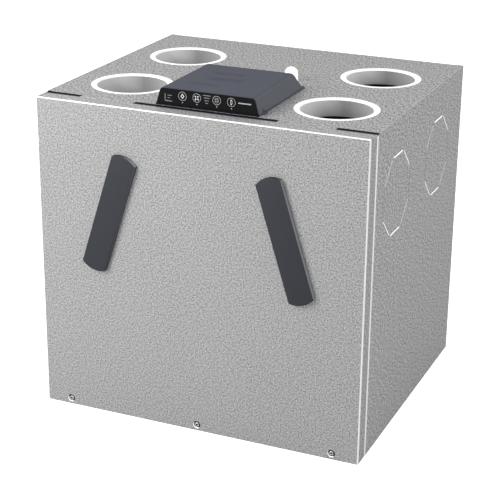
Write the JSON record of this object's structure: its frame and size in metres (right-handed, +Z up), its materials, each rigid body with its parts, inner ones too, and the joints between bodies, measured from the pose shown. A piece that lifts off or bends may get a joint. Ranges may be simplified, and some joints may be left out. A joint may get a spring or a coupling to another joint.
{
  "type": "heat recovery unit",
  "caption": "Box-shaped wall-hung heat recovery ventilation unit: top duct ports, screwed front door, slanted filter handles, control box, exchanger, fans and bypass inside.",
  "frame": {"origin": "centre of the case's flat underside", "axes": "+X to the right seen from the door, -Y out of the door, +Y towards the wall, +Z up"},
  "size_m": [0.63, 0.5703, 0.633],
  "materials": {
    "galvanised_sheet": "spangled galvanised sheet, satin",
    "zinc_steel": "zinc plated",
    "white_foam": "expanded polystyrene, matt, beaded",
    "handle_plastic": "dark slate, finely textured",
    "box_plastic": "slate grey, finely textured",
    "black_panel": "black film, satin",
    "black_seal": "closed-cell foam",
    "grey_plastic": "satin",
    "white_plastic": "satin",
    "filter_card": "card",
    "filter_fleece": "pleated fleece",
    "exchanger_plates": "thin formed plates",
    "exchanger_caps": "matt",
    "strap_web": "woven strap",
    "fan_plastic": "glass-filled, matt",
    "motor_metal": "turned",
    "circuit_board": "solder mask",
    "rubber": "matt"
  },
  "bodies": {
    "case": {"back_panel": "galvanised_sheet", "bottom_panel": "galvanised_sheet", "bypass_frame": "fan_plastic", "bypass_motor": "fan_plastic", "cable_gland": "white_plastic", "control_box_base": "box_plastic", "control_box_cover": "box_plastic", "control_fascia": "black_panel", "display_board": "circuit_board", "drain_spigot": "grey_plastic", "drain_tray": "grey_plastic", "eps_body_front": "white_foam", "eps_body_rear": "white_foam", "exchanger_core": "exchanger_plates", "exchanger_end_cap_front": "exchanger_caps", "exchanger_end_cap_rear": "exchanger_caps", "exchanger_strap": "strap_web", "fan_inlet_ring_left": "fan_plastic", "fan_inlet_ring_right": "fan_plastic", "fan_scroll_left": "fan_plastic", "fan_scroll_right": "fan_plastic", "fan_stator_left": "motor_metal", "fan_stator_right": "motor_metal", "hanging_rail": "zinc_steel", "main_board": "circuit_board", "port_seal_front_right": "black_seal", "port_seal_rear_right": "black_seal", "port_sleeve_front_left": "grey_plastic", "port_sleeve_front_right": "grey_plastic", "port_sleeve_rear_left": "grey_plastic", "port_sleeve_rear_right": "grey_plastic", "side_panel_left": "galvanised_sheet", "side_panel_right": "galvanised_sheet", "top_panel": "galvanised_sheet", "wall_bracket": "zinc_steel", "wall_spacer_left": "rubber", "wall_spacer_right": "rubber"},
    "door": {"door_skin": "galvanised_sheet", "door_insulation": "white_foam", "door_gasket": "black_seal", "door_screw_left": "zinc_steel", "door_screw_centre": "zinc_steel", "door_screw_right": "zinc_steel"},
    "filter_left": {"filter_frame_left": "filter_card", "filter_handle_left": "handle_plastic", "filter_medium_left": "filter_fleece", "filter_plug_left": "white_foam"},
    "filter_right": {"filter_frame_right": "filter_card", "filter_handle_right": "handle_plastic", "filter_medium_right": "filter_fleece", "filter_plug_right": "white_foam"},
    "fan_left": {"fan_impeller_left": "fan_plastic", "fan_rotor_left": "motor_metal"},
    "fan_right": {"fan_impeller_right": "fan_plastic", "fan_rotor_right": "motor_metal"},
    "flap": {"bypass_flap": "grey_plastic"},
    "key_1": {"button_1": "black_panel"},
    "key_2": {"button_2": "black_panel"},
    "key_3": {"button_3": "black_panel"},
    "key_4": {"button_4": "black_panel"}
  },
  "joints": [
    {"name": "door_slide", "type": "slide", "parent": "case", "child": "door", "axis": [0, -1, 0], "range_m": [0, 0.3]},
    {"name": "filter_left_slide", "type": "slide", "parent": "case", "child": "filter_left", "axis": [0, -1, 0], "range_m": [0, 0.29]},
    {"name": "filter_right_slide", "type": "slide", "parent": "case", "child": "filter_right", "axis": [0, -1, 0], "range_m": [0, 0.29]},
    {"name": "fan_left_spin", "type": "hinge", "parent": "case", "child": "fan_left", "pos_m": [-0.155, 0.11, 0.2], "axis": [0, 1, 0], "continuous": true},
    {"name": "fan_right_spin", "type": "hinge", "parent": "case", "child": "fan_right", "pos_m": [0.155, 0.11, 0.2], "axis": [0, -1, 0], "continuous": true},
    {"name": "bypass_flap_turn", "type": "hinge", "parent": "case", "child": "flap", "pos_m": [-0.078, 0.0395, 0.508], "axis": [1, 0, 0], "range_deg": [0, 80]},
    {"name": "key_1_press", "type": "slide", "parent": "case", "child": "key_1", "axis": [0, 1, 0], "range_m": [0, 0.0008]},
    {"name": "key_2_press", "type": "slide", "parent": "case", "child": "key_2", "axis": [0, 1, 0], "range_m": [0, 0.0008]},
    {"name": "key_3_press", "type": "slide", "parent": "case", "child": "key_3", "axis": [0, 1, 0], "range_m": [0, 0.0008]},
    {"name": "key_4_press", "type": "slide", "parent": "case", "child": "key_4", "axis": [0, 1, 0], "range_m": [0, 0.0008]}
  ]
}
